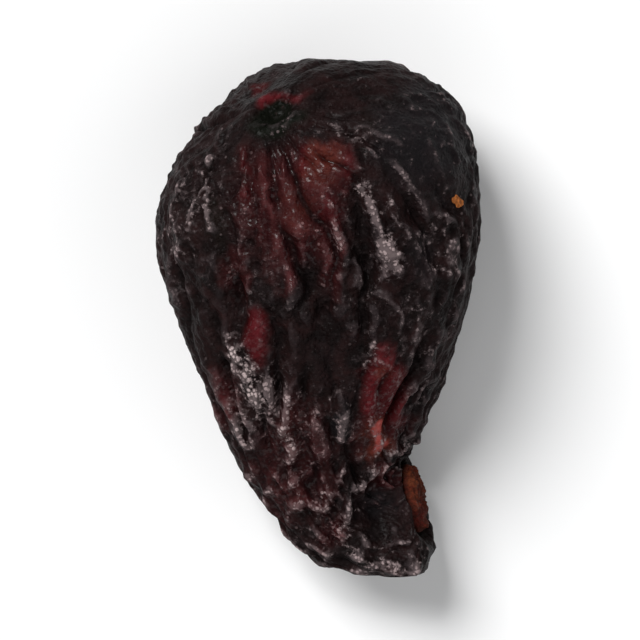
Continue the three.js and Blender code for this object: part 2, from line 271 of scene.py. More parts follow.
def mark_relief(x, y):
    """Height of the dents, swellings and creases."""
    relief = np.zeros(len(x))
    for at_x, at_y, radius, depth in DENTS:
        relief -= depth * bell(np.hypot(x - at_x, y - at_y) / radius)
    for from_x, from_y, to_x, to_y, width, depth in CREASES:
        away, along = to_line(x, y, (from_x, from_y), (to_x, to_y))
        relief -= depth * bell(away / width) * bell(1.3 * (along - 0.5))
    return relief


def slack(x, y):
    """How loose the skin is: less where it is taut."""
    kept = np.ones(len(x))
    for at_x, at_y, radius, share in TAUT:
        kept *= 1 - share * bell(np.hypot(x - at_x, y - at_y) / radius)
    return kept


def from_line(x, y, line):
    """Distance from a line bent smoothly through its points."""
    line = np.array(line, float)
    ends = np.vstack([2 * line[0] - line[1], line, 2 * line[-1] - line[-2]])
    nearest = np.full(len(x), np.inf)
    for a, b, c, d in zip(ends, ends[1:], ends[2:], ends[3:]):
        bends = [b + 0.5 * t * (c - a + t * (2 * a - 5 * b + 4 * c - d + t * (-a + 3 * b - 3 * c + d)))
                 for t in (0, 0.25, 0.5, 0.75, 1)]
        for start, end in zip(bends, bends[1:]):
            nearest = np.minimum(nearest, to_line(x, y, start, end)[0])
    return nearest


# The skin's mesh is a fine sphere whose poles are the eye and the floor of the stalk's socket. Its rows
# run down the folds to the cut neck, over the lip and into the socket, and each point is then moved out
# or in by the folds, the marks and the finer pleats and crinkles between them.
COLUMNS = FOLD_COUNT * 16
ROWS = 220
SKIN_ROWS = 200
LIP_ROWS = 208
WALL_ROWS = 214
SHRINK = 0.06
PRESSED = 0.4
SOCKET = {"half_length": 3.35, "half_height": 2.05, "offset": 1.25, "depth": 2.4, "lip": 0.3, "uneven": 0.2}


def lattice(points, size, seed):
    """Smooth value from 0 to 1 through space, with lumps of about this size in millimetres."""
    cell = points / size + 1000
    corner = np.floor(cell)
    t = ease(cell - corner)
    value = 0
    for k in range(8):
        shift = np.array([k & 1, k >> 1 & 1, k >> 2 & 1])
        weight = np.prod(np.where(shift == 1, t, 1 - t), axis=1)
        at = corner + shift
        value = value + weight * draw(at[:, 0] + 57 * at[:, 1], at[:, 2] + 13 * seed)
    return value


def blurred(grid, across, down):
    """A grid of rows by columns, smoothed round the fruit and along it."""
    for _ in range(across):
        grid = (np.roll(grid, 1, axis=1) + 2 * grid + np.roll(grid, -1, axis=1)) / 4
    for _ in range(down):
        padded = np.vstack([grid[:1], grid, grid[-1:]])
        grid = (padded[:-2] + 2 * padded[1:-1] + padded[2:]) / 4
    return grid


def ridged(value, width):
    """1 along the lines where a drifting value passes its middle, 0 away from them: winding wrinkles."""
    return 1 - ease(np.clip(abs(value - 0.5) / width, 0, 1))


def patches(spots, at_x, at_y):
    """The strongest of some oval patches, each given by middle, reach both ways and strength."""
    worth = np.zeros(len(at_x))
    for spot_x, spot_y, reach_x, reach_y, strength in spots:
        away = np.hypot((at_x - spot_x) / reach_x, (at_y - spot_y) / reach_y)
        worth = np.maximum(worth, strength * np.exp(-(away ** 3)))
    return worth


SMOOTH = [
    (0.0, -2.6, 2.6, 3.6, 1.0), (9.6, 17.0, 4.6, 4.4, 0.35), (-0.8, 11.2, 3.0, 4.0, 0.6),
    (-2.6, 17.8, 1.6, 1.6, 0.8), (-5.2, -1.6, 1.2, 2.4, 0.6), (5.6, -5.8, 1.8, 3.4, 0.6),
    (3.0, 20.0, 7.0, 2.6, 0.8), (8.4, -10.2, 1.6, 1.8, 0.9),
]
EASED = [
    (4.6, 19.4, 5.0, 2.4, 1.0), (0.2, -5.0, 4.2, 5.8, 0.8), (10.4, 2.5, 3.2, 7.0, 1.0),
    (-6.6, 20.4, 3.4, 2.4, 1.0), (0.6, 9.6, 2.2, 3.4, 0.8), (8.4, -9.6, 1.8, 2.0, 1.0),
    (-5.9, -5.4, 2.2, 3.8, 1.0), (-2.6, -9.0, 1.2, 2.6, 1.0),
]
CURLY = [
    (9.0, 15.2, 5.0, 5.6, 0.8), (10.2, 5.4, 2.8, 4.4, 0.8), (-10.8, 6.0, 2.6, 8.0, 0.5),
    (3.0, 19.4, 5.0, 2.0, 0.5), (8.8, -3.0, 2.0, 4.0, 0.3),
]
EYE_BRACTS = {"count": 7, "height": 0.5}
WANDER = 0.5
STRANDS_A_FOLD = 3
STRAND_WIDTH = 0.19
STRAND_SWAY = 0.9
LACE_SIZE, LACE_SWIRL = 0.9, 1.8
FINE_LACE_SIZE, FINE_LACE_SWIRL = 0.6, 1.2
CURL_SIZE, CURL_SWIRL = 1.7, 2.2
LACE_WIDTH = 0.16
PEBBLE_SIZE = 0.6
CRINKLES = {"strands": 0.3, "curls": 0.5, "lace": 0.24, "fine_lace": 0.09, "pebbles": 0.1}
EYE_PEBBLES = 0.35
WOBBLE = 0.6
FROST_SPREAD = 1.45
CURL_FROST = 1.05


def sphere(name, create, **parts):
    """The mesh of a sphere of radius 1, and the places of its points."""
    bm = bmesh.new()
    create(bm, radius=1.0, **parts)
    mesh = bpy.data.meshes.new(name)
    bm.to_mesh(mesh)
    bm.free()
    points = np.empty(len(mesh.vertices) * 3)
    mesh.vertices.foreach_get("co", points)
    return mesh, points.reshape(-1, 3)


def move_points(mesh, points):
    """Moves a mesh's points to places given in millimetres."""
    mesh.vertices.foreach_set("co", (points * MM).ravel())
    mesh.update()


def shade_smooth(mesh):
    for polygon in mesh.polygons:
        polygon.use_smooth = True


skin_mesh, unit = sphere("fig_skin", bmesh.ops.create_uvsphere, u_segments=COLUMNS, v_segments=ROWS)
row = np.rint(np.arccos(np.clip(unit[:, 2], -1, 1)) / np.pi * ROWS).astype(int)
column = np.mod(np.rint(-np.arctan2(unit[:, 1], unit[:, 0]) / (2 * np.pi) * COLUMNS), COLUMNS).astype(int)
place = column * FOLD_COUNT / COLUMNS
polar = np.clip(row / SKIN_ROWS, 1e-5, 1) * np.pi
degrees = np.degrees(polar)

# The smooth body, which way it faces, and how wide a fold is here.
azimuth = round_at(place, polar)
step = 1e-3
base = body_point(polar, azimuth)
aside = body_point(polar, azimuth + step) - body_point(polar, azimuth - step)
ahead = body_point(np.minimum(polar + step, np.pi), azimuth) - body_point(polar - step, azimuth)
out = np.cross(aside, ahead)
out /= np.maximum(np.linalg.norm(out, axis=1, keepdims=True), 1e-12)
spacing = np.linalg.norm(aside, axis=1) / (2 * step) * PER_FOLD
upper = ramp(-0.1, 0.5, out[:, 2]) * (1 - 0.6 * ramp(172, 180, degrees))
from_above = ramp(-0.3, 0.1, out[:, 2])
x, y = base[:, 0], base[:, 1]
along = polar / np.pi

# The folds, the wide lobes, the eye and the marks.
lobes = LOBE_HEIGHT * (2 * drift_across(LOBE_COUNT * place / FOLD_COUNT, LOBE_COUNT, 4 * along, 4) - 1)
wander = WANDER * (drift_across(place, FOLD_COUNT, along * 17, 40) - 0.5) * ramp(8, 24, degrees)
folds = fold_relief(place + wander, polar) * spacing
folds = folds * (1 + NECK_GAIN * ramp(100, 150, degrees)) * ramp(4, 20, degrees)
loose = mix(1, slack(x, y), upper)
eye = EYE_LIP * bell((degrees - EYE_LIP_ANGLE) / EYE_LIP_WIDTH) - EYE_PIT * bell(degrees / EYE_PIT_ANGLE)
easing = mix(0.5, 1.05, ramp(0.3, 0.65, lattice(base, 6.5, 12))) * (1 - 0.7 * patches(EASED, x, y))
relief = folds * loose * easing + lobes * ramp(7, 20, degrees)
relief = relief * (1 - 0.55 * ramp(160, 178, degrees)) + eye
relief += mark_relief(x, y) * upper

# From here on a place is where the folded skin lies, seen from above.
seen = base + out * relief[:, None]
x, y = seen[:, 0], seen[:, 1]

# The crinkles between: strands down the folds, a winding lace, curls that crowd on the neck, and pebbles.
sway = STRAND_SWAY * (drift_across(place, FOLD_COUNT, along * 23, 41) - 0.5)
strand_place = place * STRANDS_A_FOLD + 1.5 * sway
strands = drift_across(strand_place, FOLD_COUNT * STRANDS_A_FOLD, along * 27, 42)
strands = ridged(strands, STRAND_WIDTH)
swirl = np.stack([lattice(base, 1.9, 50 + k) - 0.5 for k in range(3)], 1)
lace = lattice((base + LACE_SWIRL * swirl) * (1.0, 0.62, 1.0), LACE_SIZE, 43)
lace = ridged(lace, LACE_WIDTH)
fine_lace = lattice((base + FINE_LACE_SWIRL * swirl) * (1.0, 0.7, 1.0), FINE_LACE_SIZE, 45)
fine_lace = ridged(fine_lace, LACE_WIDTH)
pebbles = lattice(base, PEBBLE_SIZE, 5) - 0.5
smooth = np.maximum(patches(SMOOTH, x, y) * from_above, 0.55 * ramp(0.55, 0.8, lattice(base, 6.0, 3)))
scooped = bell(np.hypot((x - SCOOP["at"][0]) / SCOOP["reach"][0], (y - SCOOP["at"][1]) / SCOOP["reach"][1]))
scooped = scooped * from_above
curls = ridged(lattice(base + CURL_SWIRL * swirl, CURL_SIZE, 47), LACE_WIDTH)
curly = np.maximum(ramp(-9.5, -13.5, y), patches(CURLY, x, y) * from_above)
crumpled = ramp(3, 12, degrees) * (1 - 0.85 * smooth) * (1 - 0.9 * scooped)
combed = CRINKLES["strands"] * ramp(0.35, 0.65, lattice(base, 2.6, 13)) * ramp(12, 34, degrees)
combed = combed * np.clip(spacing / 2.6, 0.25, 1)
laced = CRINKLES["lace"] * (lace - 0.35) + CRINKLES["fine_lace"] * (fine_lace - 0.35)
fine = combed * (strands - 0.4) + CRINKLES["curls"] * (curls - 0.35) * curly
fine += laced * ramp(8, 24, degrees) + CRINKLES["pebbles"] * pebbles

# The sharp crests and blisters, wavering a little, and the frost of sugar that they and the curls caught.
frost = np.zeros(len(x))
sharp = np.zeros(len(x))
wobble_x = x + WOBBLE * (lattice(base, 1.6, 7) - 0.5)
wobble_y = y + WOBBLE * (lattice(base, 1.6, 8) - 0.5)
beaded = mix(0.35, 1.4, lattice(base, 0.8, 9))
broken = mix(0.4, 1, ramp(0.25, 0.55, lattice(base, 1.1, 10)))
flecked = mix(0.45, 1, ramp(0.3, 0.6, lattice(base, 0.5, 20)))
for line, width, height, frosted in SHARP_CRESTS:
    away = from_line(wobble_x, wobble_y, line) / width
    sharp = np.maximum(sharp, height * bell(away) * beaded * from_above)
    kept_whole = np.maximum(broken * flecked, 0.8 * bell(1.3 * away))
    frost = np.maximum(frost, frosted * bell(away / FROST_SPREAD) * kept_whole * from_above)
for blister in BLISTERS:
    away = from_line(wobble_x, wobble_y, blister["line"]) / blister["reach"]
    sharp += blister["height"] * np.exp(-(away ** 4)) * from_above
    frost = np.maximum(frost, blister["rim"] * bell((away - 1.15) / 0.4) * kept_whole * from_above)
    fine = fine * (1 - 0.8 * np.exp(-(away ** 4)) * from_above)
frost = np.maximum(frost, CURL_FROST * curls * curly * broken * flecked * (1 - scooped))

# The bracts in the eye, and the scoop, ball and knob at the end of the neck.
bracts = abs(np.cos(EYE_BRACTS["count"] / 2 * azimuth + 0.6))
bract_relief = EYE_BRACTS["height"] * mix(0.3, 1, bracts) * bell((degrees - 5 - 2.2 * bracts) / 1.7)
relief += fine * crumpled + sharp * ramp(6, 14, degrees) + bract_relief
ball = bell(np.hypot(x - BALL["at"][0], y - BALL["at"][1]) / BALL["radius"]) * from_above
relief += BALL["height"] * ball - SCOOP["depth"] * scooped
relief += KNOB["height"] * bell(np.hypot(x - KNOB["at"][0], y - KNOB["at"][1]) / KNOB["radius"]) * from_above
relief += EYE_PEBBLES * pebbles * ramp(10, 5, degrees)

# All of it, evened once over its neighbours. The eye's pole gets one height, so that it closes.
heights = np.zeros((ROWS + 1, COLUMNS))
heights[row, column] = np.where(row <= SKIN_ROWS, relief, 0)
heights[0] = heights[1].mean()
heights = blurred(heights, 1, 1)
relief = heights[row, column] - SHRINK

# The skin stays within the size of the fruit: what would stand out at its widest places is pressed back.
skin_point = base + out * relief[:, None]
low, high = (np.array(corner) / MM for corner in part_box("fruit"))
over = np.maximum(skin_point - (high - PRESSED), 0)
skin_point -= over - PRESSED * (1 - np.exp(-over / PRESSED))
over = np.maximum(low + PRESSED - skin_point, 0) * (1, 1, 0)
skin_point += over - PRESSED * (1 - np.exp(-over / PRESSED))
skin_point[:, 2] = np.maximum(skin_point[:, 2], 0)

# The lip and socket at the cut: the skin turns over in a rough bead and lines the hole of the stalk.
ends = np.full(1, np.pi)
mouth_middle, _, _, mouth_across, mouth_up, mouth_facing = (v[0] for v in ring_at(ends))
mouth_middle = mouth_middle + mouth_across * SOCKET["offset"]


def mouth_point(shrunk, angle, outward, share=1.0):
    """A point round the stalk's oval, shrunk inside it and moved out along the way the cut faces."""
    length = (SOCKET["half_length"] - shrunk) * np.cos(angle) * share
    height = (SOCKET["half_height"] - shrunk) * np.sin(angle) * share
    outward = outward * np.ones(len(angle))
    point = mouth_middle + np.outer(length, mouth_across) + np.outer(height, mouth_up)
    return point + np.outer(outward, mouth_facing)


rim = np.empty((COLUMNS, 3))
rim_angle = np.empty(COLUMNS)
last = row == SKIN_ROWS
rim[column[last]] = skin_point[last]
rim_angle[column[last]] = azimuth[last]
here = rim[column]
angle = rim_angle[column]
uneven = SOCKET["uneven"] * ramp(0.3, 0.75, lattice(mouth_point(0, angle, 0), 1.2, 75))
edge = mouth_point(uneven, angle, -0.1)
q = np.clip((row - SKIN_ROWS) / (LIP_ROWS - SKIN_ROWS), 0, 1)
shelf = np.linalg.norm(here - edge, axis=1)
lip_point = mix(here, edge, q[:, None])
bead = np.sin(np.pi * q) * (SOCKET["lip"] + 0.16 * shelf) * mix(0.35, 1.65, lattice(lip_point, 0.9, 11))
lip_point = lip_point + np.outer(bead, mouth_facing)
w = np.clip((row - LIP_ROWS) / (WALL_ROWS - LIP_ROWS), 0, 1)
wall_point = mouth_point(uneven * (1 - w), angle, mix(-0.1, -SOCKET["depth"], w))
f = np.clip((row - WALL_ROWS) / (ROWS - WALL_ROWS), 0, 1)
floor_point = mouth_point(0, angle, -SOCKET["depth"], 1 - f)
point = np.where((row <= SKIN_ROWS)[:, None], skin_point, lip_point)
point = np.where((row > LIP_ROWS)[:, None], wall_point, point)
point = np.where((row > WALL_ROWS)[:, None], floor_point, point)
move_points(skin_mesh, point)
shade_smooth(skin_mesh)

# What the surface knows of itself, kept on its points for its colour: how far each point stands above or
# below the skin about it, where the thin flesh shows red, brown or orange, and where the sugar lies thick.
BROWN_RED = [
    (-2.8, 9.3, 5.0, 5.6, 1.0), (0.5, 12.2, 2.4, 2.8, 1.0), (0.8, 6.0, 1.2, 5.5, 0.8),
    (-2.7, 5.0, 1.1, 4.0, 0.8), (-7.8, -6.4, 1.5, 3.6, 0.7), (-5.6, -12.0, 1.6, 3.6, 0.45),
    (5.5, -6.6, 2.4, 4.4, 0.9), (4.9, -16.2, 1.7, 2.2, 0.45), (-2.0, -12.6, 4.8, 6.6, 0.65),
    (1.2, -17.8, 1.4, 2.2, 0.7), (3.6, -9.8, 1.4, 2.6, 0.7), (-7.2, 3.6, 1.5, 3.2, 0.7),
    (5.2, -13.0, 1.6, 1.3, 0.9),
]
CRIMSON = [
    (-1.5, 13.2, 0.8, 2.0, 0.8), (1.9, 12.4, 0.6, 2.2, 0.7), (-4.1, 18.9, 1.7, 0.9, 1.2),
    (-2.4, 19.1, 1.3, 0.5, 0.8), (-1.0, 19.1, 0.9, 0.5, 0.4), (-5.1, -1.4, 1.5, 2.6, 1.0),
    (5.4, -4.4, 2.0, 1.8, 1.0), (5.2, -7.6, 1.8, 3.4, 1.2), (-7.9, -6.2, 1.0, 2.4, 0.45),
    (0.2, 9.2, 0.5, 3.0, 0.5), (-6.6, 1.8, 0.8, 2.8, 0.5), (-6.2, 11.0, 0.6, 3.6, 0.5),
]
# Orange flesh; a patch stronger than 1, near the neck, also paints a glint.
EMBER_AND_GLINT = [
    (-0.1, 12.8, 2.0, 2.4, 0.75), (-1.8, 9.8, 2.0, 2.6, 0.35), (4.6, -9.9, 1.25, 1.8, 1.75),
    (5.4, -4.4, 0.9, 0.6, 0.8),
]
CRUST = [
    (-11.8, 7.6, 3.8, 7.4, 0.7), (-8.4, 15.4, 4.2, 2.2, 0.6), (3.6, 15.2, 2.8, 1.8, 0.8),
    (-9.4, -3.0, 1.6, 3.4, 0.4), (-5.0, -7.4, 2.8, 3.8, 1.0), (0.4, -17.4, 3.4, 4.4, 1.0),
    (7.6, -20.4, 2.8, 1.4, 0.9), (7.9, -10.2, 1.8, 1.8, 0.8), (5.8, 6.2, 2.0, 4.2, 0.8),
    (11.2, -1.0, 1.8, 6.5, 0.5), (8.4, 9.2, 2.6, 3.6, 0.5), (-2.6, 5.6, 1.4, 3.4, 0.4),
    (5.0, -11.4, 1.6, 1.4, 0.8), (-3.2, 16.7, 2.8, 1.3, 0.9), (-0.6, -19.6, 4.4, 1.6, 0.8),
    (-1.4, -9.6, 2.4, 3.4, 0.7), (8.0, -1.0, 2.4, 4.6, 0.6), (1.6, 19.6, 6.0, 1.6, 0.5),
    (1.8, -8.6, 1.1, 2.2, 1.05), (-0.3, -10.2, 1.0, 1.8, 0.7), (-2.6, -9.0, 1.0, 1.8, 1.0),
    (-4.4, -13.2, 2.0, 4.2, 0.3), (8.6, -6.2, 1.2, 3.0, 0.7), (4.7, -10.4, 1.5, 1.9, 1.1),
    (8.6, 14.6, 5.4, 5.6, 0.6), (4.7, -3.4, 2.0, 1.2, 0.9),
]
# Patches where the sugar is thinned: bare skin, and in the first two, at the top left and low on the left
# flank, painted shade.
BARE_AND_PAINTED_SHADE = [
    (-6.8, 18.0, 3.4, 2.4, 1.0), (-9.6, -0.6, 2.1, 3.0, 1.0), (-5.0, -13.0, 2.2, 3.6, 0.6),
    (0.2, -3.4, 2.0, 4.0, 0.6), (5.4, -6.9, 1.4, 1.6, 0.95), (5.0, -13.0, 1.2, 0.9, 0.8),
]
SLATE = [
    (9.0, 15.4, 5.0, 5.4, 1.0), (8.6, 5.0, 1.6, 3.0, 0.6), (0.2, -3.4, 2.2, 4.6, 0.4),
    (1.7, -8.6, 1.0, 2.0, 1.0), (-0.2, -10.2, 1.0, 1.8, 0.6), (5.0, -15.8, 1.8, 2.4, 0.9),
]
GREENISH = [
    (-3.3, 16.9, 2.9, 1.5, 1.0), (-8.6, 7.6, 1.2, 3.6, 0.5), (4.0, 16.8, 1.6, 1.2, 0.4),
]


def keep(mesh, name, values):
    """Keeps a value for each point of a mesh, for its material to read."""
    layer = mesh.attributes.new(name, "FLOAT", "POINT")
    layer.data.foreach_set("value", values.astype(np.float32))


near = (heights - blurred(heights, 16, 6))[row, column]
wide = (heights - blurred(heights, 110, 22))[row, column]
on_skin = row <= SKIN_ROWS
dapple = lattice(base, 3.4, 17)
edges_x = x + 1.6 * (lattice(base, 1.5, 18) - 0.5)
edges_y = y + 2.2 * (lattice(base, 2.0, 19) - 0.5)
hidden = (1 - from_above) * ramp(0.5, 0.8, lattice(base, 7.0, 15))
crust_beneath = 0.75 * (1 - from_above) * ramp(0.3, 0.75, dapple)
crust = np.maximum(patches(CRUST, edges_x, edges_y) * from_above, crust_beneath)
crust = np.maximum(0.3 + 0.3 * dapple, crust) * (1 - patches(BARE_AND_PAINTED_SHADE, edges_x, edges_y) * from_above)
crust = crust * (1 - 0.7 * smooth) * (1 - 0.4 * curly * (1 - curls)) * (1 - 0.4 * scooped * (1 - ball))
keep(skin_mesh, "crest", ramp(0.01, 0.16, near) * on_skin)
# The ridge value paints light on the raised folds of the reds.
keep(skin_mesh, "ridge", ramp(-0.15, 0.5, wide) * on_skin)
# The hollow value keeps sugar from the furrows and darkens them with painted shade.
hollow = np.maximum(ramp(0.03, 0.2, -near), ramp(0.1, 0.7, -wide) * (1 - 0.7 * ramp(-12, -16, y)))
keep(skin_mesh, "hollow", hollow * on_skin)
keep(skin_mesh, "brown_red", np.maximum(patches(BROWN_RED, edges_x, edges_y) * from_above, 0.8 * hidden))
keep(skin_mesh, "crimson", patches(CRIMSON, edges_x, edges_y) * from_above)
keep(skin_mesh, "ember", patches(EMBER_AND_GLINT, edges_x, edges_y) * from_above)
keep(skin_mesh, "slate", patches(SLATE, edges_x, edges_y) * from_above)
keep(skin_mesh, "crust", crust)
keep(skin_mesh, "frost", frost)
greenish = np.maximum(ramp(7, 4, degrees), patches(GREENISH, edges_x, edges_y) * from_above)
keep(skin_mesh, "greenish", greenish * on_skin)
# The socket value darkens the inner lip and the hole with painted shade.
keep(skin_mesh, "socket", ramp(0.55, 1.0, q))


def new_material(name):
    """A material with nothing but its shader."""
    material = bpy.data.materials.new(name)
    material.use_nodes = True
    nodes = material.node_tree.nodes
    nodes.clear()
    shader = nodes.new("ShaderNodeBsdfPrincipled")
    output = nodes.new("ShaderNodeOutputMaterial")
    material.node_tree.links.new(shader.outputs["BSDF"], output.inputs["Surface"])
    return material, shader


def fill(tree, node, settings):
    """Sets a node's sockets by name or number: a socket of another node is linked, a value is kept."""
    for key, value in settings.items():
        if isinstance(value, bpy.types.NodeSocket):
            tree.links.new(value, node.inputs[key])
        else:
            node.inputs[key].default_value = value
    return node


def noise(tree, where, scale, detail, roughness, distortion=0.0):
    """Noise with so many lumps to a metre."""
    node = tree.nodes.new("ShaderNodeTexNoise")
    fill(tree, node, {"Vector": where, "Scale": scale, "Distortion": distortion})
    fill(tree, node, {"Detail": detail, "Roughness": roughness})
    return node.outputs["Fac"]


def cells(tree, where, scale):
    """Irregular cells, so many to a metre."""
    node = tree.nodes.new("ShaderNodeTexVoronoi")
    return fill(tree, node, {"Vector": where, "Scale": scale, "Randomness": 1.0}).outputs


def calc(tree, operation, *values):
    """One step of arithmetic on sockets and numbers."""
    node = tree.nodes.new("ShaderNodeMath")
    node.operation = operation
    return fill(tree, node, dict(enumerate(values))).outputs[0]


def times(tree, a, b):
    return calc(tree, "MULTIPLY", a, b)


def plus(tree, a, b):
    return calc(tree, "ADD", a, b)


def less(tree, a, b):
    return calc(tree, "SUBTRACT", a, b)


def larger(tree, a, b):
    return calc(tree, "MAXIMUM", a, b)


def bumps(tree, height, strength, distance):
    """A surface's facing, roughened by a height."""
    node = tree.nodes.new("ShaderNodeBump")
    fill(tree, node, {"Strength": strength, "Distance": distance, "Height": height})
    return node.outputs["Normal"]


def between(tree, value, low, high, to_low=0.0, to_high=1.0):
    """How far a value has passed from low to high, eased, as a share or between two other values."""
    node = tree.nodes.new("ShaderNodeMapRange")
    node.interpolation_type = "SMOOTHSTEP"
    fill(tree, node, {"Value": value, "From Min": low, "From Max": high, "To Min": to_low, "To Max": to_high})
    return node.outputs["Result"]


def blend(tree, share, under, over):
    """One colour laid over another by a share. Each is three numbers or a socket."""
    node = tree.nodes.new("ShaderNodeMix")
    node.data_type = "RGBA"
    fill(tree, node, {"Factor": share})
    for socket, value in zip([s for s in node.inputs if s.type == "RGBA"], (under, over)):
        if isinstance(value, bpy.types.NodeSocket):
            tree.links.new(value, socket)
        else:
            socket.default_value = (*value, 1.0)
    return next(s for s in node.outputs if s.type == "RGBA")


# The sugar that blooms on dried fruit: a pale crust of grains on the crests, thinning to a film between.
# Skin and stalk both carry it, so it is one node group that gives the share of the surface it covers.
GRAINS_A_METRE = 2500
CLUMPS_A_METRE = 1500
CRYSTALS_A_METRE = 1200
bloom = bpy.data.node_groups.new("sugar_bloom", "ShaderNodeTree")
bloom.interface.new_socket("Where", in_out="INPUT", socket_type="NodeSocketVector")
for socket_name in ("Crest", "Crust"):
    bloom.interface.new_socket(socket_name, in_out="INPUT", socket_type="NodeSocketFloat")
for socket_name in ("Cover", "Film", "Grain"):
    bloom.interface.new_socket(socket_name, in_out="OUTPUT", socket_type="NodeSocketFloat")
taken = bloom.nodes.new("NodeGroupInput").outputs
given = bloom.nodes.new("NodeGroupOutput")
grains = between(bloom, cells(bloom, taken["Where"], GRAINS_A_METRE)["Distance"], 0.62, 0.18)
clumps = noise(bloom, taken["Where"], CLUMPS_A_METRE, 4.0, 0.75, 0.3)
winding = noise(bloom, taken["Where"], 560, 1.0, 0.5, 0.6)
winding = between(bloom, calc(bloom, "ABSOLUTE", less(bloom, winding, 0.5)), 0.12, 0.02)
standing = larger(bloom, taken["Crest"], times(bloom, winding, 0.4))
wanted = times(bloom, plus(bloom, times(bloom, standing, 0.7), 0.3), taken["Crust"])
cover = between(bloom, plus(bloom, clumps, times(bloom, wanted, 0.36)), 0.62, 0.76)
cover = times(bloom, cover, between(bloom, grains, 0.05, 0.7, 0.15, 1.0))
film = plus(bloom, times(bloom, standing, 0.75), less(bloom, clumps, 0.5))
film = times(bloom, between(bloom, film, 0.1, 0.8), between(bloom, taken["Crust"], -0.2, 0.8))
# Scattered pale crystal dots: sugar crystals, partly painted glints.
crystal = cells(bloom, taken["Where"], CRYSTALS_A_METRE)
chosen = calc(bloom, "GREATER_THAN", noise(bloom, crystal["Position"], 900, 1.0, 0.5), 0.56)
sparkle = times(bloom, between(bloom, crystal["Distance"], 0.2, 0.12), chosen)
sparkle = times(bloom, sparkle, between(bloom, taken["Crust"], 0.05, 0.4))
cover = larger(bloom, cover, times(bloom, sparkle, 0.7))
fill(bloom, given, {"Cover": cover, "Film": film, "Grain": grains})


def sugared(tree, where, crest, crust):
    """The bloom placed in a material: how far sugar covers it, how far a film dulls it, and the grain."""
    group = tree.nodes.new("ShaderNodeGroup")
    group.node_tree = bloom
    return fill(tree, group, {"Where": where, "Crest": crest, "Crust": crust}).outputs


def attribute(tree, name):
    """What a mesh keeps under this name."""
    node = tree.nodes.new("ShaderNodeAttribute")
    node.attribute_name = name
    return node.outputs["Fac"]


# The skin's colours, with a pair running from its darker to its paler side: near-black flesh, the reds
# where it is thin, the dust of sugar that dulls it, and the sugar that stands on it.
BLACK_FLESH = (0.0050, 0.0029, 0.0028), (0.0135, 0.0058, 0.0057)
# The brown reds: the first pair for the low parts, the second for the raised folds, paler as painted light.
# The crimson's paler end is painted light on the raised folds too.
LOW_RED = (0.012, 0.0020, 0.0024), (0.026, 0.0050, 0.0052)
HIGH_RED_PAINTED_LIGHT = (0.058, 0.0080, 0.0090), (0.076, 0.0200, 0.0200)
CRIMSON_FLESH = (0.042, 0.0022, 0.0030), (0.104, 0.0090, 0.0130)
EMBER_FLESH = (0.046, 0.0065, 0.0042), (0.118, 0.025, 0.016)
# A painted glint on the orange flesh.
EMBER_PAINTED_GLINT = (0.36, 0.066, 0.056)
# Painted shade for the furrows.
FURROW_PAINTED_SHADE = (0.0032, 0.0020, 0.0020)
GREEN_BLACK = (0.0046, 0.0052, 0.0034)
SLATE_BLACK = (0.0092, 0.0082, 0.0092)
DUST = (0.033, 0.0245, 0.026), (0.095, 0.071, 0.073)
RED_DUST = (0.095, 0.036, 0.038)
SUGAR = (0.085, 0.064, 0.065), (0.340, 0.262, 0.260)
THICK_SUGAR = (0.50, 0.40, 0.39)
RED_SUGAR = (0.27, 0.150, 0.150)
# Painted shade lining the stalk's socket.
SOCKET_PAINTED_SHADE = (0.006, 0.003, 0.002)
skin_material, shader = new_material("dried_fig_skin")
tree = skin_material.node_tree
where = tree.nodes.new("ShaderNodeTexCoord").outputs["Object"]
ridge_painted_light = attribute(tree, "ridge")
frost_value = attribute(tree, "frost")
hollow_value = times(tree, attribute(tree, "hollow"), less(tree, 1.0, frost_value))
crusted = larger(tree, attribute(tree, "crust"), times(tree, frost_value, 1.15))
sugar = sugared(tree, where, attribute(tree, "crest"), crusted)
mottle = noise(tree, where, 420, 4.0, 0.6, 0.6)
streaks = noise(tree, where, 1700, 3.0, 0.6, 0.8)
mottled = less(tree, mottle, 0.5)


def zone(tree, name, low, high, ragged):
    """A zone's share with ragged edges, from its attribute and the mottle."""
    return between(tree, plus(tree, attribute(tree, name), times(tree, mottled, ragged)), low, high)


# Its flesh, from the bottom up: black, striped brown red, crimson, ember, and painted shade in the furrows.
# The reds are paler on the raised folds as painted light, and the strongest ember is a painted glint.
colour = blend(tree, between(tree, mottle, 0.35, 0.7), *BLACK_FLESH)
red_share = zone(tree, "brown_red", 0.15, 0.85, 0.5)
drawn_out = tree.nodes.new("ShaderNodeVectorMath")
drawn_out.operation = "MULTIPLY"
fill(tree, drawn_out, {0: where, 1: (1.0, 0.16, 1.0)})
stripes = between(tree, noise(tree, drawn_out.outputs[0], 900, 2.0, 0.55, 0.4), 0.35, 0.65)
# Paler brown red and crimson on the raised folds: painted light.
brown_red = blend(tree, ridge_painted_light, blend(tree, stripes, *LOW_RED), blend(tree, stripes, *HIGH_RED_PAINTED_LIGHT))
colour = blend(tree, times(tree, red_share, 0.9), colour, brown_red)
crimson_share = zone(tree, "crimson", 0.15, 1.15, 1.0)
crimson = blend(tree, ridge_painted_light, *CRIMSON_FLESH)
colour = blend(tree, times(tree, crimson_share, 0.8), colour, crimson)
ember = blend(tree, between(tree, streaks, 0.3, 0.7), *EMBER_FLESH)
colour = blend(tree, times(tree, zone(tree, "ember", 0.1, 1.15, 0.9), 0.75), colour, ember)
# The strongest ember is a painted glint.
colour = blend(tree, zone(tree, "ember", 1.0, 1.6, 0.6), colour, EMBER_PAINTED_GLINT)
# Painted shade in the furrows.
colour = blend(tree, times(tree, hollow_value, 0.75), colour, FURROW_PAINTED_SHADE)
colour = blend(tree, zone(tree, "greenish", 0.2, 0.9, 0.6), colour, GREEN_BLACK)
colour = blend(tree, times(tree, zone(tree, "slate", 0.2, 1.0, 0.6), 0.8), colour, SLATE_BLACK)

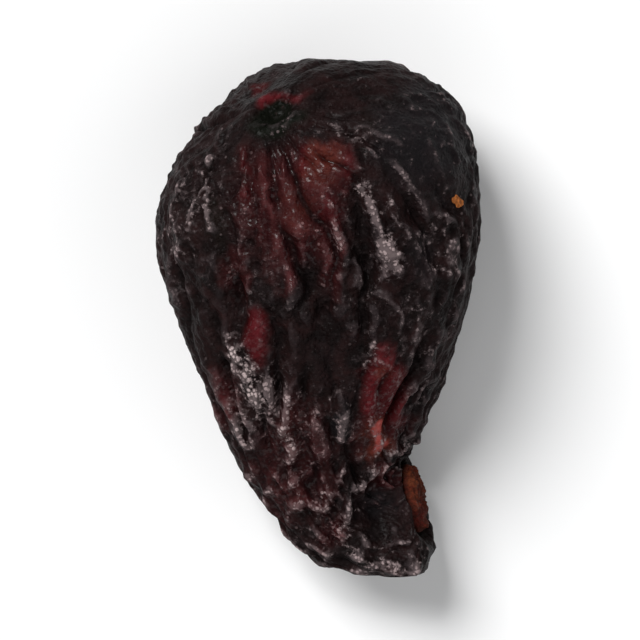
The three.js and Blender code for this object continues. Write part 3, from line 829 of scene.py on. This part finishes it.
# The dusty film, thinner on the reds, and then the sugar, which the furrows and the crimson lack.
red_glow = larger(tree, red_share, crimson_share)
film = less(tree, less(tree, 0.7, times(tree, red_glow, 0.3)), times(tree, crimson_share, 0.35))
film = times(tree, sugar["Film"], film)
dust = blend(tree, between(tree, crusted, 0.3, 1.0), *DUST)
dust = blend(tree, times(tree, red_glow, 0.8), dust, RED_DUST)
colour = blend(tree, film, colour, dust)
cleaner = times(tree, crimson_share, less(tree, 0.8, times(tree, frost_value, 0.8)))
cover = times(tree, sugar["Cover"], less(tree, 1.0, times(tree, hollow_value, 0.85)))
cover = times(tree, cover, less(tree, 1.0, cleaner))
sugar_tone = blend(tree, between(tree, crusted, 0.2, 1.1), *SUGAR)
sugar_tone = blend(tree, between(tree, crusted, 1.1, 1.5), sugar_tone, THICK_SUGAR)
thinner = less(tree, 1.0, times(tree, frost_value, 0.6))
sugar_tone = blend(tree, times(tree, red_glow, times(tree, thinner, 0.85)), sugar_tone, RED_SUGAR)
colour = blend(tree, times(tree, cover, 0.85), colour, sugar_tone)
# Painted shade in the socket.
colour = blend(tree, attribute(tree, "socket"), colour, SOCKET_PAINTED_SHADE)

# Sugar and furrows are dull, the reds a little glossier, with wet dots.
rough = plus(tree, between(tree, mottle, 0.3, 0.7, 0.38, 0.52), times(tree, cover, 0.35))
rough = less(tree, rough, times(tree, red_share, 0.08))
rough = larger(tree, rough, times(tree, hollow_value, 0.85))
bump_height = plus(tree, times(tree, streaks, 0.5), times(tree, sugar["Grain"], 0.3))
bump_height = plus(tree, bump_height, times(tree, cover, 0.35))
bump_height = plus(tree, bump_height, times(tree, sugar["Film"], 0.4))
bumped = bumps(tree, bump_height, 0.9, 0.00022)
wet_dots = between(tree, noise(tree, where, 2600, 2.0, 0.5), 0.52, 0.62)
wet_dots = times(tree, wet_dots, plus(tree, times(tree, red_glow, 0.35), 0.05))
fill(tree, shader, {"Base Color": colour, "Roughness": rough, "Normal": bumped})
fill(tree, shader, {"IOR": 1.45, "Specular IOR Level": 0.04})
fill(tree, shader, {"Coat Weight": wet_dots, "Coat Roughness": 0.25})


def in_scene(name, mesh, material):
    """An object at the origin for a finished mesh."""
    mesh.materials.append(material)
    piece = bpy.data.objects.new(name, mesh)
    bpy.context.scene.collection.objects.link(piece)
    return piece


skin = in_scene("skin", skin_mesh, skin_material)
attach(skin, "root")
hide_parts("fruit")

# The stump of the stalk: woody, cut short and torn, wedged in the neck with a hair of room round it.
# A sphere again, whose rows run from its foot in the socket up its side and over the domed torn face.
STUMP = {"gap": 0.3, "proud": 0.8, "dome": 0.3, "torn": 0.5, "pith": 0.35, "grooves": 0.08}
STUMP_TAPER = {"foot": 0.1, "rim": 0.3}
STUMP_FIBRES = 30
STUMP_COLUMNS = 180
STUMP_ROWS = 100
FOOT_SHARE, SIDE_SHARE = 0.12, 0.6
stump_mesh, unit = sphere(
    "fig_stump", bmesh.ops.create_uvsphere, u_segments=STUMP_COLUMNS, v_segments=STUMP_ROWS)
t = np.arccos(np.clip(-unit[:, 2], -1, 1)) / np.pi
angle = np.mod(np.arctan2(unit[:, 1], unit[:, 0]), 2 * np.pi)
on_foot = np.clip(t / FOOT_SHARE, 0, 1)
up_side = np.clip((t - FOOT_SHARE) / (SIDE_SHARE - FOOT_SHARE), 0, 1)
over_face = np.clip((t - SIDE_SHARE) / (1 - SIDE_SHARE), 0, 1)
outward = mix(STUMP["gap"] - SOCKET["depth"], STUMP["proud"], up_side)
outward = outward + STUMP["dome"] * (1 - (1 - over_face) ** 2)
shrunk = STUMP["gap"] + STUMP_TAPER["foot"] * (1 - up_side) + STUMP_TAPER["rim"] * ramp(0.8, 1, up_side)
stump_point = mouth_point(shrunk, angle, outward, np.minimum(on_foot, 1 - over_face))
fibre = drift_across(angle / (2 * np.pi) * STUMP_FIBRES, STUMP_FIBRES, t * 5, 61) - 0.5
tear = lattice(stump_point, 0.7, 62) + 0.6 * lattice(stump_point, 0.22, 63) - 0.8
pith = bell((1 - over_face) / 0.3)
strands = ramp(0, 0.06, up_side) * (1 - ramp(0.9, 1, up_side))
outside = np.outer(np.cos(angle), mouth_across) + np.outer(np.sin(angle), mouth_up)
stump_point = stump_point + outside * (STUMP["grooves"] * (fibre - 0.5) * strands)[:, None]
torn = STUMP["torn"] * (tear + 0.35 * fibre * (1 - over_face)) * ramp(0.85, 1, up_side)
torn = torn - STUMP["pith"] * pith
stump_point = stump_point + np.outer(torn, mouth_facing)
move_points(stump_mesh, stump_point)
shade_smooth(stump_mesh)
one_end = np.cos(angle) * np.minimum(1, 1.4 * (1 - over_face))
keep(stump_mesh, "pale_end", 0.12 * ramp(-0.7, 0.9, one_end))
keep(stump_mesh, "crest", ramp(-0.1, 0.3, tear * ramp(0.85, 1, up_side)))
keep(stump_mesh, "fibre", ramp(-0.25, 0.35, fibre + 0.6 * tear) * ramp(0.7, 1, up_side))
# The depth value darkens the stalk down in its socket with painted shade.
keep(stump_mesh, "depth", 1 - ramp(0.55, 1, up_side))

STALK_WOOD = (0.066, 0.0085, 0.0060), (0.44, 0.140, 0.034)
PALE_FIBRE = (0.25, 0.084, 0.032)
DARK_PORE = (0.02, 0.008, 0.005)
# Painted shade for the stalk down in its socket.
STALK_PAINTED_SHADE = (0.015, 0.006, 0.004)
STALK_SUGAR = (0.16, 0.11, 0.09)
stump_material, shader = new_material("cut_fig_stalk")
tree = stump_material.node_tree
where = tree.nodes.new("ShaderNodeTexCoord").outputs["Object"]
sugar = sugared(tree, where, attribute(tree, "crest"), 0.2)
pores = noise(tree, where, 2600, 3.0, 0.6)
grain = noise(tree, where, 1100, 4.0, 0.7, 0.5)
tone = plus(tree, attribute(tree, "pale_end"), times(tree, less(tree, grain, 0.5), 0.8))
colour = blend(tree, between(tree, tone, 0.0, 1.0), *STALK_WOOD)
paler = plus(tree, times(tree, attribute(tree, "pale_end"), 1.3), 0.07)
colour = blend(tree, times(tree, attribute(tree, "fibre"), paler), colour, PALE_FIBRE)
colour = blend(tree, between(tree, pores, 0.42, 0.62), blend(tree, 0.55, colour, DARK_PORE), colour)
# Painted shade on the stalk inside the socket.
colour = blend(tree, times(tree, attribute(tree, "depth"), 0.8), colour, STALK_PAINTED_SHADE)
colour = blend(tree, times(tree, sugar["Cover"], 0.35), colour, STALK_SUGAR)
bumped = bumps(tree, plus(tree, times(tree, pores, 0.6), grain), 0.8, 0.0005)
rough = between(tree, grain, 0.3, 0.7, 0.6, 0.85)
fill(tree, shader, {"Base Color": colour, "Roughness": rough, "Normal": bumped})
fill(tree, shader, {"Specular IOR Level": 0.06})
stump = in_scene("stalk_stump_torn", stump_mesh, stump_material)
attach(stump, "root")
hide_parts("stalk_stump")

# A flake of dry stalk, a millimetre long, that stuck to the sugar on the fruit's flank.
FLAKE = {"at": (11.6, 10.0), "length": 0.6, "width": 0.42, "thickness": 0.2, "turn": 35, "lift": 0.12}
flake_mesh, unit = sphere("fig_flake", bmesh.ops.create_icosphere, subdivisions=4)
beneath = np.hypot(point[:, 0] - FLAKE["at"][0], point[:, 1] - FLAKE["at"][1]) + 100 * (out[:, 2] < 0.1)
nearest = beneath.argmin()
normal = out[nearest]
turn = np.radians(FLAKE["turn"])
lengthways = np.cross(normal, (np.sin(turn), np.cos(turn), 0.0))
lengthways /= np.linalg.norm(lengthways)
sideways = np.cross(normal, lengthways)
ragged = 1 + 0.9 * (lattice(unit + 5, 0.8, 71) - 0.5) + 0.5 * (lattice(unit + 5, 0.35, 72) - 0.5)
shape = unit * ragged[:, None] * (FLAKE["length"], FLAKE["width"], FLAKE["thickness"])
flake_point = point[nearest] + normal * FLAKE["lift"] + shape @ np.array([lengthways, sideways, normal])
move_points(flake_mesh, flake_point)
for name, value in (("pale_end", 0.95), ("crest", 0.2), ("depth", 0), ("fibre", 0)):
    keep(flake_mesh, name, np.full(len(flake_point), value))
flake = in_scene("stalk_flake", flake_mesh, stump_material)
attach(flake, "root")

# The pale floor, the soft light and the camera, which looks straight down on the fruit. FIELD is how much
# it sees, in metres, at the height FIELD_HEIGHT. A lamp has a name, azimuth, height, softness and strength.
FLOOR_SIZE = 3.0
FIELD = 0.0545
CAMERA_HEIGHT = 0.6
FIELD_HEIGHT = 0.01
FLOOR_WHITE = (0.86, 0.86, 0.86, 1.0)
WALL_WHITE = (0.95, 0.97, 1.0, 1.0)
WALL_LIGHT = 0.12
LAMPS = [
    ("key", 132, 48, 32, 3.1), ("fill", -20, 42, 60, 0.7), ("low", -105, 42, 60, 0.8),
    ("glint", 118, 62, 7, 0.3),
]
bm = bmesh.new()
bmesh.ops.create_grid(bm, x_segments=2, y_segments=2, size=FLOOR_SIZE / 2)
floor_mesh = bpy.data.meshes.new("floor")
bm.to_mesh(floor_mesh)
bm.free()
floor_material, shader = new_material("matt_pale_floor")
fill(floor_material.node_tree, shader, {"Base Color": FLOOR_WHITE, "Roughness": 0.95})
fill(floor_material.node_tree, shader, {"Specular IOR Level": 0.1})
floor = in_scene("floor", floor_mesh, floor_material)


def soft_light(name, azimuth, height, softness, strength):
    """A far, wide lamp that shines from an azimuth and a height, in degrees."""
    lamp = bpy.data.lights.new(name, "SUN")
    lamp.angle = np.radians(softness)
    lamp.energy = strength
    holder = bpy.data.objects.new(name, lamp)
    round_it, above = np.radians(azimuth), np.radians(height)
    flat = np.cos(above)
    towards = Vector((flat * np.cos(round_it), flat * np.sin(round_it), np.sin(above)))
    holder.rotation_euler = towards.to_track_quat("Z", "Y").to_euler()
    bpy.context.scene.collection.objects.link(holder)


for lamp_values in LAMPS:
    soft_light(*lamp_values)

# The studio's walls: they show white, and give the fruit only a little light from all round.
world = bpy.data.worlds.new("studio")
world.use_nodes = True
tree = world.node_tree
wall = tree.nodes["Background"]
in_view = tree.nodes.new("ShaderNodeLightPath").outputs["Is Camera Ray"]
fill(tree, wall, {"Color": WALL_WHITE, "Strength": between(tree, in_view, 0.0, 1.0, WALL_LIGHT, 1.0)})
bpy.context.scene.world = world
bpy.context.scene.view_settings.view_transform = "Standard"

camera_data = bpy.data.cameras.new("camera")
camera_data.lens = camera_data.sensor_width * (CAMERA_HEIGHT - FIELD_HEIGHT) / FIELD
camera_data.clip_start = 0.01
camera_data.clip_end = 20
camera = bpy.data.objects.new("camera", camera_data)
camera.location = (0.0, 0.0, CAMERA_HEIGHT)
bpy.context.scene.collection.objects.link(camera)
bpy.context.scene.camera = camera
